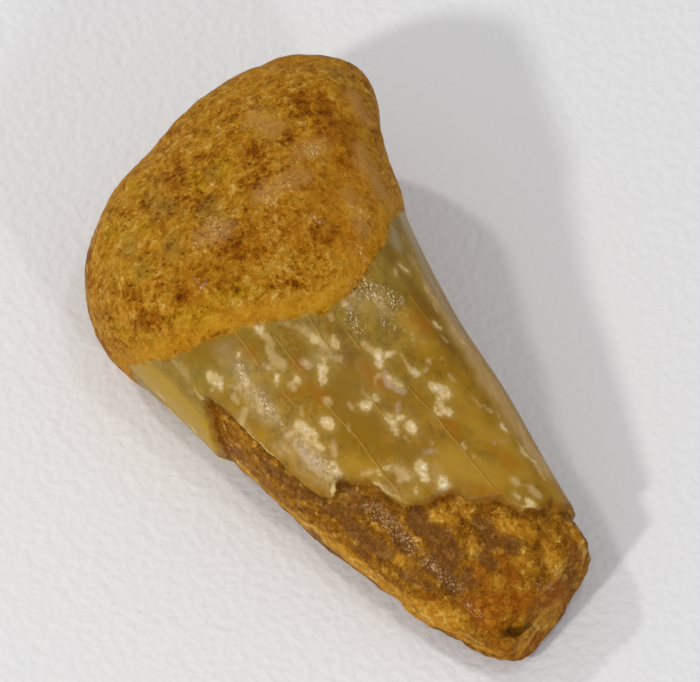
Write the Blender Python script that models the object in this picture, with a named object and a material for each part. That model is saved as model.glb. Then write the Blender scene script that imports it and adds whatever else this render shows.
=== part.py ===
"""A small fossil dinosaur bone, built as one solid: the broken-off end of a limb bone.

The bone lies along Y, with its broken tip at -Y and its rounded joint end at +Y, and rests on the
ground at z = 0. X runs across it and +Z is up. The origin is under the middle of its bounding box.

A thin glassy shell covers the shaft. It has flaked away round the tip, which leaves a ragged step
down to the rough core, and at the joint end it runs under a crust with a rounded lip.
All sizes below are in millimetres, and angles in degrees round the bone: 0 is the +X side,
90 the top, 180 the -X side and 270 the underside.
"""

import math

import bmesh
import bpy
import numpy as np
from mathutils import Matrix, Vector, noise

MM = 0.001

# The bone's ends, and how bluntly they close.
TIP_Y = -19.4
JOINT_Y = 18.2
SHAFT_ROUNDNESS = 2.35  # exponent of the cross-section: 2 is an ellipse, more is squarer
JOINT_ROUNDNESS = 2.9
TIP_BLUNTNESS = 5.0
JOINT_BLUNTNESS = 3.8

# Cross-sections along the bone.
SECTIONS = (
    # y, side at -X, side at +X, top, underside
    (-19.4, -3.7, 7.6, 4.6, -0.4),
    (-16.0, -4.2, 7.5, 5.6, -0.4),
    (-13.5, -4.65, 7.05, 6.4, -0.4),
    (-11.0, -5.35, 6.95, 7.3, -0.4),
    (-6.0, -6.9, 7.1, 8.8, -0.4),
    (-1.0, -8.1, 7.2, 10.4, -0.3),
    (3.0, -8.9, 7.5, 11.8, -0.1),
    (7.0, -9.65, 8.1, 12.3, 0.0),
    (11.0, -10.35, 9.75, 12.0, 0.2),
    (14.5, -10.2, 12.15, 11.4, 0.8),
    (18.2, -9.8, 13.4, 10.5, 1.4),
)
SIDE_TILT = ((-19.4, 0.05), (-9.0, 0.06), (3.0, 0.1), (11.0, 0.12), (18.2, 0.13))

# The joint end's knuckles and the broken tip's corners: where across, how wide, how far to +Y.
KNUCKLES = ((7.4, 3.4, 0.65), (2.4, 3.2, 0.85), (-6.2, 3.0, -0.5))
TIP_CORNERS = ((7.0, 2.6, 0.9), (-4.2, 2.2, 2.0))

# The crust's rim all round the bone: angle, y. The crust is what lies to +Y of it.
CRUST_RIM = (
    (-90, 4.0),
    (-50, 5.0),
    (-20, 6.0),
    (5, 6.5),
    (28, 5.8),
    (42, 4.8),
    (50, 3.7),
    (60, 2.9),
    (70, 2.2),
    (80, 1.7),
    (90, 1.8),
    (104, 2.4),
    (116, 3.4),
    (131, 4.2),
    (145, 5.0),
    (160, 6.2),
    (184, 8.0),
    (205, 7.4),
    (235, 5.6),
    (270, 4.0),
)
CRUST_STEP = 0.15
CRUST_LIP = 0.25

# The shell's broken edge all round the bone: angle, y. The bare core is what lies to -Y of it.
SHELL_EDGE = (
    (-90, -4.0),
    (-55, -9.0),
    (-30, -12.0),
    (0, -13.3),
    (20, -13.2),
    (38, -13.3),
    (42, -12.8),
    (48, -13.1),
    (55, -13.0),
    (65, -12.6),
    (72, -11.6),
    (79, -11.4),
    (86, -11.1),
    (92, -10.0),
    (99, -10.0),
    (107, -9.9),
    (114, -9.3),
    (117, -8.4),
    (119, -7.4),
    (124, -6.9),
    (128, -6.1),
    (133, -6.1),
    (139, -6.4),
    (143, -6.1),
    (145, -5.1),
    (146, -3.8),
    (146.5, -2.3),
    (147, -0.9),
    (148, 0.0),
    (149, 1.1),
    (152, 2.3),
    (156, 2.4),
    (162, 1.8),
    (173, 1.3),
    (188, 0.9),
    (208, 1.1),
    (230, 0.8),
    (250, -1.2),
    (270, -4.0),
)
SHELL_THICKNESS = 0.5
MEAN_RADIUS = ((-19.4, 4.0), (-9.0, 5.6), (3.0, 7.4), (11.0, 8.6), (18.2, 9.0))

# Lumps of the surface: where they are, how high, their size across, along and up, and a seed.
LUMPS = (
    ("all over", 0.3, (7.0, 9.0, 7.0), 3.1),
    ("crust", 0.16, (2.4, 2.4, 2.4), 8.4),
    ("core", 0.15, (1.6, 4.5, 1.6), 5.7),
    ("core", 0.1, (1.1, 1.1, 1.1), 2.2),
)

# Flat breaks at the tip: the way each faces, and a point on it.
BREAKS = (
    ((0.36, -0.9, 0.25), (3.84, -16.75, 1.94)),
    ((-0.1, -1.0, 0.3), (0.0, -18.9, 2.0)),
    ((-0.75, -0.6, 0.35), (-3.0, -16.9, 2.6)),
)
BREAK_FLATNESS = 0.9  # 1 is quite flat

# Hollow chips knocked out of the tip: the centre and the radius of each one's ball.
CHIPS = (((5.14, -18.35, 1.68), 2.0),)

# Pits: the angle and y of each, its radius and its depth.
PITS = (
    (118, -18.3, 0.7, 0.9),
    (356, -17.0, 0.6, 0.7),
    (100, 12.0, 1.1, 0.25),
    (150, 12.5, 1.4, 0.3),
    (60, 10.0, 1.0, 0.25),
    (205, -12.0, 0.9, 0.4),
    (75, -16.4, 0.8, 0.35),
    (128, -14.6, 1.0, 0.35),
)

# The solid is shaped from a box of this many cells across, along and up, then thinned.
CELLS = (64, 128, 36)
FACETS = 9000
RESTING_DEPTH = 0.05  # what lies this close to the ground is pressed flat on it
SHARP_ANGLE = 50
MATERIAL_COLOUR = (0.33, 0.19, 0.06, 1.0)


def smooth_curve(at, knots, values):
    """A cubic curve through (knots, values), read at each number in at."""
    knots = np.asarray(knots, float)
    values = np.asarray(values, float)
    slopes = np.gradient(values, knots)
    at = np.clip(at, knots[0], knots[-1])
    i = np.clip(np.searchsorted(knots, at, side="right") - 1, 0, len(knots) - 2)
    step = knots[i + 1] - knots[i]
    t = (at - knots[i]) / step
    return (
        values[i] * (1 + 2 * t) * (1 - t) ** 2
        + slopes[i] * step * t * (1 - t) ** 2
        + values[i + 1] * t * t * (3 - 2 * t)
        + slopes[i + 1] * step * t * t * (t - 1)
    )


def ramp(value, start, end):
    """0 before start, 1 after end, and smooth between them."""
    t = np.clip((value - start) / (end - start), 0, 1)
    return t * t * (3 - 2 * t)


def bumps(x, places):
    """The sum of smooth bumps, each given by its place, its width and its height."""
    return sum(height * np.exp(-(((x - place) / width) ** 2)) for place, width, height in places)


def rounded(box):
    """Points of a box from -1 to 1, moved onto a rounded body with blunt ends."""
    across, along, up = np.abs(box).T
    blunt = np.where(box[:, 1] < 0, TIP_BLUNTNESS, JOINT_BLUNTNESS)
    squareness = SHAFT_ROUNDNESS + (JOINT_ROUNDNESS - SHAFT_ROUNDNESS) * ramp(box[:, 1], 0.2, 0.8)
    girth = (across**squareness + up**squareness) ** (1 / squareness)
    return box / ((girth**blunt + along**blunt) ** (1 / blunt))[:, None]


def body(unit):
    """The bone's plain form, in millimetres, for points of the rounded body."""
    middle, half = (JOINT_Y + TIP_Y) / 2, (JOINT_Y - TIP_Y) / 2
    y = middle + half * unit[:, 1]
    knots, *rows = zip(*SECTIONS)
    left, right, top, under = (smooth_curve(y, knots, row) for row in rows)
    x = (left + right) / 2 + unit[:, 0] * (right - left) / 2
    z = (top + under) / 2 + unit[:, 2] * (top - under) / 2
    z += smooth_curve(y, *zip(*SIDE_TILT)) * (x - (left + right) / 2)
    y += bumps(x, KNUCKLES) * ramp(y, 2.0, JOINT_Y)
    y += bumps(x, TIP_CORNERS) * ramp(-y, 13.0, -TIP_Y)
    return np.stack([x, y, z], axis=1)


def unrolled(angle, y):
    """A place on the bone's surface laid out flat: the way round from the top, and y."""
    return np.radians(np.asarray(angle) - 90) * smooth_curve(y, *zip(*MEAN_RADIUS)), np.asarray(y)


def beyond(angle, y, line):
    """How far each place lies to +Y of a line round the bone, below 0 where it lies to -Y."""
    u, v = unrolled(angle, y)
    line_u, line_v = unrolled(*np.array(line, float).T)
    nearest = np.full(len(u), np.inf)
    for k in range(len(line) - 1):
        du, dv = line_u[k + 1] - line_u[k], line_v[k + 1] - line_v[k]
        t = np.clip(((u - line_u[k]) * du + (v - line_v[k]) * dv) / (du * du + dv * dv), 0, 1)
        nearest = np.minimum(nearest, np.hypot(u - line_u[k] - t * du, v - line_v[k] - t * dv))
    return nearest * np.where(v > np.interp(u, line_u, line_v), 1, -1)


def lumps(points, sizes, seed):
    """Smooth noise from about -1 to 1, with lumps of the given sizes across, along and up."""
    scaled = points / np.asarray(sizes, float) + seed
    return np.array([noise.noise(Vector(p)) for p in scaled])


def relief(unit, points):
    """How far the surface stands out from the plain form at each point."""
    angle = (np.degrees(np.arctan2(unit[:, 2], unit[:, 0])) + 90) % 360 - 90
    y = points[:, 1]
    crust = beyond(angle, y, CRUST_RIM)
    bare = -beyond(angle, y, SHELL_EDGE)
    out = CRUST_STEP * ramp(crust, -0.5, 0.9)
    out += CRUST_LIP * np.exp(-(((crust - 1.0) / 0.9) ** 2)) * np.maximum(unit[:, 2], 0)
    out -= SHELL_THICKNESS * ramp(bare, -0.1, 0.4)
    share = {"all over": 1, "crust": ramp(crust, 0, 2), "core": ramp(bare, 0, 1)}
    for where, height, sizes, seed in LUMPS:
        out += height * share[where] * lumps(points, sizes, seed)
    u, v = unrolled(angle, y)
    for pit_angle, pit_y, radius, depth in PITS:
        pit_u, pit_v = unrolled((pit_angle + 90) % 360 - 90, pit_y)
        out -= depth * np.exp(-((u - pit_u) ** 2 + (v - pit_v) ** 2) / radius**2)
    return out


def broken(points):
    """Points past a flat break at the tip, moved back onto it."""
    for facing, through in BREAKS:
        facing = np.array(facing) / np.linalg.norm(facing)
        past = (points - np.array(through)) @ facing
        points = points - np.outer(np.maximum(past, 0), facing) * BREAK_FLATNESS
    return points


def chipped(points):
    """Points inside a chip's ball, moved out onto it."""
    for centre, radius in CHIPS:
        off = points - np.array(centre)
        far = np.linalg.norm(off, axis=1)[:, None]
        points = points + off * np.maximum(radius / np.maximum(far, 0.1) - 1, 0)
    return points


def box_mesh():
    """A closed box from -1 to 1 in bmesh, its faces divided into CELLS."""
    bm = bmesh.new()
    bmesh.ops.create_cube(bm, size=2)
    for axis, cells in enumerate(CELLS):
        for cut in range(1, cells):
            place = Vector((0, 0, 0))
            place[axis] = 2 * cut / cells - 1
            facing = Vector((0, 0, 0))
            facing[axis] = 1
            geometry = bm.verts[:] + bm.edges[:] + bm.faces[:]
            bmesh.ops.bisect_plane(bm, geom=geometry, plane_co=place, plane_no=facing)
    bmesh.ops.recalc_face_normals(bm, faces=bm.faces[:])
    return bm


def place_points(bm, points):
    for vert, point in zip(bm.verts, points):
        vert.co = point
    bm.normal_update()


def make_bone():
    bm = box_mesh()
    unit = rounded(np.array([vert.co for vert in bm.verts]))
    points = body(unit)
    place_points(bm, points)
    facing = np.array([vert.normal for vert in bm.verts])
    points = chipped(broken(points + facing * relief(unit, points)[:, None]))
    points[:, 2] = np.maximum(points[:, 2], 0)
    place_points(bm, points * MM)
    bmesh.ops.triangulate(bm, faces=bm.faces[:])
    mesh = bpy.data.meshes.new("fossil_bone")
    bm.to_mesh(mesh)
    bm.free()
    bone = bpy.data.objects.new("fossil_bone", mesh)
    bpy.context.collection.objects.link(bone)
    return bone


def thin(bone):
    """Thin the dense mesh to FACETS triangles, press its underside flat and centre it."""
    modifier = bone.modifiers.new("Thin", "DECIMATE")
    modifier.ratio = FACETS / len(bone.data.polygons)
    evaluated = bone.evaluated_get(bpy.context.evaluated_depsgraph_get())
    mesh = bpy.data.meshes.new_from_object(evaluated)
    bone.modifiers.clear()
    bone.data = mesh
    for vert in mesh.vertices:
        if vert.co.z < RESTING_DEPTH * MM:
            vert.co.z = 0
    corners = np.array([vert.co for vert in mesh.vertices])
    middle = (corners.min(axis=0) + corners.max(axis=0)) / 2
    mesh.transform(Matrix.Translation((-middle[0], -middle[1], 0)))
    mesh.shade_smooth()
    mesh.set_sharp_from_angle(angle=math.radians(SHARP_ANGLE))


def add_material(bone):
    material = bpy.data.materials.new("fossil_bone")
    material.use_nodes = True
    shader = material.node_tree.nodes["Principled BSDF"]
    shader.inputs["Base Color"].default_value = MATERIAL_COLOUR
    shader.inputs["Roughness"].default_value = 0.45
    shader.inputs["Metallic"].default_value = 0.0
    bone.data.materials.clear()
    bone.data.materials.append(material)


for thing in list(bpy.data.objects):
    bpy.data.objects.remove(thing)
fossil_bone = make_bone()
thin(fossil_bone)
add_material(fossil_bone)
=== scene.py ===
"""Looks of a small fossil dinosaur bone: an ochre crust on its joint end, a glassy olive and
amber shell with cream flecks on its shaft, and a bare brown core at its broken tip.

Sizes are in millimetres until a mesh or a lamp is placed. The bone lies along Y with its broken
tip at -Y, and angles round it run from 0 at the +X side through 90 at the top to 180 at -X.
Marks are placed by pixels of the rendered picture, 700 wide and 682 high, and laid on the bone.
"""

import math

import bpy
import numpy as np
from mathutils import Matrix, Vector, noise


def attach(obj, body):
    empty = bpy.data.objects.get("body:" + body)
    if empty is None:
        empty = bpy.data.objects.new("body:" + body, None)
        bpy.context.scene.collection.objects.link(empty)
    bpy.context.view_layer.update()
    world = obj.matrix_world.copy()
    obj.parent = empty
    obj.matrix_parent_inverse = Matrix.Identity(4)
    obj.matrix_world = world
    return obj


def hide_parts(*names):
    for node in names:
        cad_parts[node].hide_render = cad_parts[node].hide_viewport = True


MM = 0.001

# ---------------------------------------------------------------- the bone's form

# The bone's ends, and how bluntly they close.
TIP_Y = -19.4
JOINT_Y = 18.2
SHAFT_ROUNDNESS = 2.35  # exponent of the cross-section: 2 is an ellipse, more is squarer
JOINT_ROUNDNESS = 2.9
TIP_BLUNTNESS = 5.0
JOINT_BLUNTNESS = 3.8
ROUNDNESS_CHANGE = (0.2, 0.8)  # from where to where along it changes, from -1 to 1

# Cross-sections along the bone.
SECTIONS = (
    # y, side at -X, side at +X, top, underside
    (-19.4, -3.7, 7.6, 4.6, -0.4),
    (-16.0, -4.2, 7.5, 5.6, -0.4),
    (-13.5, -4.65, 7.05, 6.4, -0.4),
    (-11.0, -5.35, 6.95, 7.3, -0.4),
    (-6.0, -6.9, 7.1, 8.8, -0.4),
    (-1.0, -8.1, 7.2, 10.4, -0.3),
    (3.0, -8.9, 7.5, 11.8, -0.1),
    (7.0, -9.65, 8.1, 12.3, 0.0),
    (11.0, -10.35, 9.75, 12.0, 0.2),
    (14.5, -10.2, 12.15, 11.4, 0.8),
    (18.2, -9.8, 13.4, 10.5, 1.4),
)
SIDE_TILT = ((-19.4, 0.05), (-9.0, 0.06), (3.0, 0.1), (11.0, 0.12), (18.2, 0.13))

# The joint end's knuckles and the broken tip's corners: where across, how wide, how far to +Y.
KNUCKLES = ((7.4, 3.4, 0.65), (2.4, 3.2, 0.85), (-6.2, 3.0, -0.5))
TIP_CORNERS = ((7.0, 2.6, 0.9), (-4.2, 2.2, 2.0))
KNUCKLES_BEGIN = 2.0
CORNERS_BEGIN = -13.0

# The crust's rim all round the bone: angle, y. The crust is what lies to +Y of it.
CRUST_RIM = (
    (-90, 4.0),
    (-50, 5.0),
    (-20, 6.0),
    (5, 6.5),
    (28, 5.8),
    (42, 4.8),
    (50, 3.7),
    (60, 2.9),
    (70, 2.2),
    (80, 1.7),
    (90, 1.8),
    (104, 2.4),
    (116, 3.4),
    (131, 4.2),
    (145, 5.0),
    (160, 6.2),
    (184, 8.0),
    (205, 7.4),
    (235, 5.6),
    (270, 4.0),
)
CRUST_STEP = 0.15
CRUST_SLOPE = (-0.5, 0.9)  # from where to where past the rim the step rises
CRUST_LIP = 0.25
CRUST_LIP_PLACE = 1.0  # how far inside the rim the lip is highest
CRUST_LIP_WIDTH = 0.9

# The shell's broken edge all round the bone: angle, y. The bare core is what lies to -Y of it.
SHELL_EDGE = (
    (-90, -4.0),
    (-55, -9.0),
    (-30, -12.0),
    (0, -13.3),
    (20, -13.2),
    (38, -13.3),
    (42, -12.8),
    (48, -13.1),
    (55, -13.0),
    (65, -12.6),
    (72, -11.6),
    (79, -11.4),
    (86, -11.1),
    (92, -10.0),
    (99, -10.0),
    (107, -9.9),
    (114, -9.3),
    (117, -8.4),
    (119, -7.4),
    (124, -6.9),
    (128, -6.1),
    (133, -6.1),
    (139, -6.4),
    (143, -6.1),
    (145, -5.1),
    (146, -3.8),
    (146.5, -2.3),
    (147, -0.9),
    (148, 0.0),
    (149, 1.1),
    (152, 2.3),
    (156, 2.4),
    (162, 1.8),
    (173, 1.3),
    (188, 0.9),
    (208, 1.1),
    (230, 0.8),
    (250, -1.2),
    (270, -4.0),
)
SHELL_THICKNESS = 0.5
SHELL_SLOPE = (-0.1, 0.22)  # from where to where past the edge the step falls

# How far round the bone one radian goes, at each y.
MEAN_RADIUS = ((-19.4, 4.0), (-9.0, 5.6), (3.0, 7.4), (11.0, 8.6), (18.2, 9.0))

# Lumps of the surface: where they are, how high, their size across, along and up, and a seed.
LUMPS = (
    ("all over", 0.3, (7.0, 9.0, 7.0), 3.1),
    ("crust", 0.16, (2.4, 2.4, 2.4), 8.4),
    ("core", 0.15, (1.6, 4.5, 1.6), 5.7),
    ("core", 0.1, (1.1, 1.1, 1.1), 2.2),
)

# Flat breaks at the tip: the way each faces, and a point on it.
BREAKS = (
    ((0.36, -0.9, 0.25), (3.84, -16.75, 1.94)),
    ((-0.1, -1.0, 0.3), (0.0, -18.9, 2.0)),
    ((-0.75, -0.6, 0.35), (-3.0, -16.9, 2.6)),
)
BREAK_FLATNESS = 0.9  # 1 is quite flat

# Hollow chips knocked out of the tip: the centre and the radius of each one's ball.
CHIPS = (((5.14, -18.35, 1.68), 2.0),)

# Pits: the angle and y of each, its radius and its depth.
PITS = (
    (118, -18.3, 0.7, 0.9),
    (356, -17.0, 0.6, 0.7),
    (100, 12.0, 1.1, 0.25),
    (150, 12.5, 1.4, 0.3),
    (60, 10.0, 1.0, 0.25),
    (205, -12.0, 0.9, 0.4),
    (75, -16.4, 0.8, 0.35),
    (128, -14.6, 1.0, 0.35),
)

# Lumps too small for the solid, in the same words as LUMPS.
FINE_LUMPS = (
    ("crust", 0.05, (0.8, 0.8, 0.8), 12.5),
    ("crust", 0.035, (0.4, 0.4, 0.4), 15.1),
    ("core", 0.09, (0.55, 0.7, 0.55), 6.6),
    ("core", 0.045, (0.28, 0.28, 0.28), 9.2),
    ("shell", 0.04, (1.2, 4.0, 1.2), 4.9),
)
RAGGEDNESS = ((0.13, 0.9, 1.7), (0.09, 0.4, 7.7))  # of the shell's edge: depth, size, seed
CELLS = (116, 224, 60)  # faces of the mesh across, along and up
TIP_CROWDING = 0.12  # how much closer together the rings are at the broken tip
CRUST_FADE = 2.0  # how far past the rim the crust's lumps reach their full height
CORE_FADE = 1.0

# ---------------------------------------------------------------- camera and light

PICTURE = (700, 682)
ORIGIN_PIXEL = (349.0, 422.5)  # where the bone's origin falls in the picture
PIXELS_PER_MM = 17.5
CAMERA_TURN = math.radians(-32.4)
CAMERA_TILT = math.radians(60.0)
CAMERA_DISTANCE = 1.6
CAMERA_AIM = 3.0  # how far in front of the bone's origin the camera aims, in millimetres
SENSOR_WIDTH = 36.0
RIGHT = Vector((math.cos(CAMERA_TURN), math.sin(CAMERA_TURN), 0))
AWAY = Vector((-math.sin(CAMERA_TURN), math.cos(CAMERA_TURN), 0))
UP = AWAY * math.sin(CAMERA_TILT) + Vector((0, 0, math.cos(CAMERA_TILT)))

# Sizes of the floor and the lamps are in metres, and the shares of light add up on the floor.
FLOOR_SIZE = 4.0
FLOOR_ALBEDO = 0.86
FLOOR_GRAIN_DEPTH = 0.05  # millimetres
SKY_SHARE = 0.36
SKY_COLOUR = (1.0, 0.983, 1.02, 1.0)
LAMP_DISTANCE = 0.7
LAMPS = (
    # name, shadow to the right, shadow away, share of the floor's light, width, colour
    ("front left lamp", 0.9, 0.83, 0.185, 0.06, (1.0, 0.995, 0.97)),
    ("back left lamp", 0.8, -0.6, 0.115, 0.05, (1.0, 1.0, 0.95)),
    ("front right lamp", -0.8, 1.45, 0.065, 0.08, (0.97, 0.98, 1.0)),
    ("back right lamp", -0.2, 0.0, 0.05, 0.08, (0.95, 0.97, 1.0)),
)

# ---------------------------------------------------------------- marks

# Each stroke runs from one pixel of the picture to another: x, y, x, y, half its width.
CREAM_FLECKS = (
    (212, 378, 219, 382, 6), (314, 337, 315, 341, 4.5), (333, 341, 334, 343, 4),
    (324, 356, 323, 366, 3), (322, 366, 323, 381, 4.5), (276, 376, 277, 382, 3.5),
    (295, 376, 298, 380, 3.5), (256, 322, 262, 330, 5), (240, 355, 240, 356, 1.6),
    (247, 381, 248, 384, 2.2), (301, 424, 307, 430, 5), (307, 430, 315, 432, 3),
    (326, 422, 330, 426, 5.5), (304, 436, 322, 446, 3), (349, 290, 352, 293, 4),
    (345, 302, 346, 307, 3), (401, 266, 407, 271, 2.6), (426, 290, 428, 292, 2),
    (436, 324, 440, 327, 2.8), (460, 337, 464, 343, 2.2), (378, 352, 379, 364, 4),
    (387, 355, 397, 352, 2.4), (413, 370, 417, 374, 3.4), (392, 379, 400, 384, 3),
    (435, 388, 445, 391, 5.5), (442, 395, 447, 396, 3), (440, 401, 441, 407, 2.8),
    (446, 412, 450, 414, 3.6), (436, 411, 437, 413, 2), (362, 405, 368, 407, 4.8),
    (376, 396, 378, 401, 2.2), (389, 418, 401, 419, 4), (393, 421, 396, 431, 3),
    (409, 424, 410, 427, 5), (412, 430, 415, 432, 2.6), (420, 464, 422, 470, 5),
    (423, 472, 424, 479, 4), (442, 478, 445, 486, 5.5), (416, 487, 416, 492, 2.4),
    (385, 465, 387, 467, 3.4), (378, 471, 379, 474, 1.8), (501, 424, 506, 431, 3),
    (526, 454, 533, 461, 2.4), (520, 447, 521, 450, 2), (528, 500, 531, 505, 3.6),
    (515, 494, 517, 497, 2.4), (334, 466, 339, 474, 4),
)
FAINT_FLECKS = (
    (303, 330, 326, 347, 3), (331, 356, 339, 359, 3.5), (305, 362, 309, 365, 4.5),
    (290, 385, 293, 387, 3), (263, 332, 272, 344, 3), (267, 349, 273, 356, 3.5),
    (277, 360, 284, 366, 5), (265, 366, 273, 369, 2), (238, 366, 248, 384, 3),
    (228, 387, 239, 387, 2), (233, 398, 238, 401, 3.5), (212, 391, 222, 390, 2),
    (247, 410, 242, 421, 3.6), (258, 396, 262, 412, 3), (276, 415, 279, 418, 2.6),
    (301, 407, 303, 417, 2), (289, 437, 300, 429, 3.5), (325, 398, 328, 402, 3.6),
    (282, 322, 291, 326, 2.6), (330, 315, 333, 322, 2.4), (194, 387, 203, 399, 2.4),
    (207, 426, 210, 434, 1.6), (395, 271, 396, 275, 2.6), (402, 298, 402, 303, 1.6),
    (376, 300, 381, 306, 5), (434, 304, 438, 313, 2.4), (442, 302, 443, 304, 1.6),
    (442, 336, 447, 343, 2.6), (364, 344, 374, 352, 3.4), (375, 374, 379, 376, 3),
    (401, 354, 408, 366, 1.6), (409, 369, 413, 371, 2), (423, 369, 429, 360, 1.8),
    (429, 360, 442, 357, 1.2), (360, 390, 370, 399, 1.8), (350, 403, 353, 410, 1.2),
    (391, 313, 407, 314, 1.2), (461, 443, 463, 448, 2.4), (475, 457, 480, 459, 1.8),
    (397, 467, 405, 475, 4.4), (399, 478, 401, 482, 2.6), (362, 472, 370, 470, 3.4),
    (348, 425, 349, 429, 1.6), (332, 442, 335, 452, 4), (404, 436, 409, 442, 0.9),
    (429, 441, 433, 443, 1.5), (487, 390, 490, 393, 1.8), (486, 407, 491, 411, 3),
    (498, 413, 499, 417, 1.8), (513, 477, 517, 484, 3.4), (530, 488, 537, 494, 5),
    (514, 438, 526, 454, 1.6), (533, 461, 544, 479, 1.6), (473, 397, 481, 407, 1.4),
    (412, 340, 424, 344, 1.2), (404, 330, 412, 334, 1.4), (450, 376, 454, 381, 1.6),
    (296, 326, 303, 332, 1.8), (374, 384, 376, 388, 1.6), (300, 446, 322, 468, 7),
    (318, 462, 330, 476, 5),
)
LILAC_WISPS = (
    (383, 370, 389, 386, 2), (389, 384, 402, 391, 3), (399, 403, 398, 413, 1.8),
    (424, 451, 437, 451, 2.2), (493, 442, 511, 440, 1.8), (462, 444, 475, 437, 1.4),
    (304, 361, 309, 365, 3), (344, 300, 350, 308, 2.4), (302, 450, 318, 464, 4),
)
MILKY_PATCHES = (
    (296, 438, 330, 474, 10), (272, 446, 330, 488, 3), (377, 479, 407, 496, 2.4),
    (246, 388, 268, 414, 9), (304, 330, 330, 346, 5), (392, 466, 408, 476, 5),
    (436, 470, 440, 490, 4), (176, 362, 188, 376, 5), (350, 290, 366, 304, 9),
    (238, 416, 252, 430, 3), (376, 296, 384, 308, 7), (322, 352, 338, 362, 5),
    (286, 448, 310, 466, 6), (300, 446, 330, 474, 7),
)
HAIRLINES = (
    (233, 330, 257, 362, 0.8), (276, 338, 298, 366, 1.0), (308, 318, 330, 350, 0.8),
    (345, 329, 357, 345, 0.9), (327, 404, 354, 434, 1.0), (354, 434, 398, 490, 1.0),
    (370, 398, 388, 419, 0.8), (410, 389, 427, 407, 0.8), (436, 417, 473, 463, 1.0),
    (473, 463, 497, 491, 1.0), (410, 296, 436, 330, 0.7), (286, 395, 292, 402, 0.8),
)
# Places for painted glints: tiny highlights where crystals catch the lamps.
GLITTER = (
    (298, 441, 308, 451, 5), (318, 459, 333, 472, 7), (360, 286, 392, 302, 11),
    (350, 314, 358, 330, 6), (382, 318, 392, 326, 5), (239, 364, 247, 384, 5),
    (258, 394, 272, 412, 6), (284, 424, 288, 430, 3), (370, 508, 392, 528, 9),
    (392, 528, 414, 548, 9), (426, 559, 457, 588, 7), (462, 595, 476, 611, 6),
    (211, 221, 223, 236, 7), (194, 245, 198, 249, 4), (200, 282, 204, 288, 5),
    (210, 178, 214, 184, 4), (268, 194, 274, 204, 6), (281, 184, 289, 188, 6),
    (304, 146, 316, 154, 8), (312, 216, 318, 222, 5), (356, 246, 362, 258, 6),
    (540, 584, 550, 588, 5), (556, 570, 562, 578, 4), (186, 210, 187, 214, 2),
)
RUST_STAINS = (
    (300, 98, 322, 112, 15), (320, 112, 334, 136, 10), (296, 128, 286, 140, 6),
    (176, 166, 178, 174, 5), (180, 182, 192, 200, 5), (145, 200, 147, 204, 4),
    (124, 224, 126, 229, 4), (143, 244, 147, 250, 4), (156, 278, 160, 286, 5),
    (128, 294, 136, 297, 5), (176, 294, 184, 298, 5), (200, 203, 202, 207, 4),
    (224, 285, 232, 290, 4), (234, 230, 238, 248, 9), (257, 152, 265, 168, 6),
    (206, 156, 210, 162, 4), (280, 283, 296, 283, 6), (140, 322, 166, 320, 8),
    (344, 128, 350, 158, 10), (250, 180, 256, 188, 5), (318, 228, 330, 236, 7),
    (104, 306, 110, 320, 5), (368, 236, 374, 244, 4), (156, 220, 164, 230, 5),
    (174, 178, 188, 192, 9),
)
OLIVE_STAINS = (
    (156, 204, 166, 210, 9), (208, 208, 222, 216, 10), (210, 170, 214, 176, 5),
    (126, 240, 132, 250, 8), (152, 190, 160, 197, 6), (168, 240, 176, 252, 7),
    (330, 70, 350, 84, 8), (378, 186, 390, 206, 7), (138, 268, 146, 276, 7),
)
YELLOW_STAINS = (
    (106, 226, 126, 236, 9), (116, 260, 122, 270, 7), (190, 178, 200, 186, 6),
    (216, 166, 228, 174, 7), (140, 224, 150, 232, 8), (132, 266, 146, 276, 8),
    (292, 309, 330, 301, 6), (210, 300, 250, 292, 8), (170, 318, 216, 318, 7),
    (262, 112, 284, 120, 8), (104, 250, 112, 276, 7), (250, 128, 262, 134, 7),
    (144, 336, 158, 344, 7), (132, 186, 146, 194, 6), (112, 324, 128, 336, 7),
)
SMOOTH_CRUST = (
    (352, 104, 372, 196, 17), (336, 140, 344, 250, 12), (262, 66, 338, 66, 9),
    (240, 92, 262, 72, 8), (306, 150, 316, 200, 9), (116, 190, 150, 148, 8),
)
RUDDY_STAINS = (
    (250, 150, 300, 110, 16), (330, 120, 345, 190, 20), (240, 240, 330, 230, 22),
    (300, 170, 360, 250, 14), (150, 285, 200, 290, 8), (128, 318, 160, 330, 8),
    (360, 204, 380, 240, 9), (262, 156, 296, 166, 9), (172, 176, 186, 192, 8),
)
CLEAR_AMBER = (
    (190, 352, 240, 346, 12), (238, 346, 268, 340, 6), (292, 352, 300, 372, 5),
    (330, 388, 372, 440, 15), (420, 300, 452, 344, 12), (330, 320, 352, 372, 8),
    (380, 440, 412, 452, 9), (290, 330, 300, 350, 8),
)
ORANGE_STAINS = (
    (364, 366, 378, 384, 6), (312, 388, 324, 398, 6), (414, 318, 428, 328, 8),
    (450, 424, 456, 434, 6), (284, 396, 300, 392, 5), (250, 352, 258, 362, 4),
    (296, 362, 302, 370, 4), (556, 484, 560, 492, 4), (500, 452, 514, 466, 6),
    (470, 486, 500, 492, 4),
)
# Painted light: a pale grey strip on the upper right flank, where light shines through the shell's
# edge.
THROUGH_LIT_FLANK = (
    (402, 216, 420, 256, 7), (420, 256, 440, 296, 7), (440, 296, 462, 334, 6),
    (392, 232, 398, 246, 6),
)
# Painted shade along the right flank's ridge; the first stroke is a smoky patch of the shell
# itself.
SHADED_FLANK = (
    (338, 332, 350, 356, 8), (390, 252, 408, 282, 7), (408, 282, 430, 316, 6),
    (430, 316, 456, 356, 6), (456, 356, 466, 370, 4),
)
LACY_PATCHES = (
    (244, 370, 290, 364, 11), (244, 392, 316, 430, 22), (300, 330, 400, 330, 20),
    (352, 284, 396, 306, 13), (296, 446, 328, 472, 8),
)
STRAW_FLANK = ((130, 358, 156, 382, 34), (156, 382, 208, 438, 34))
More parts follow.
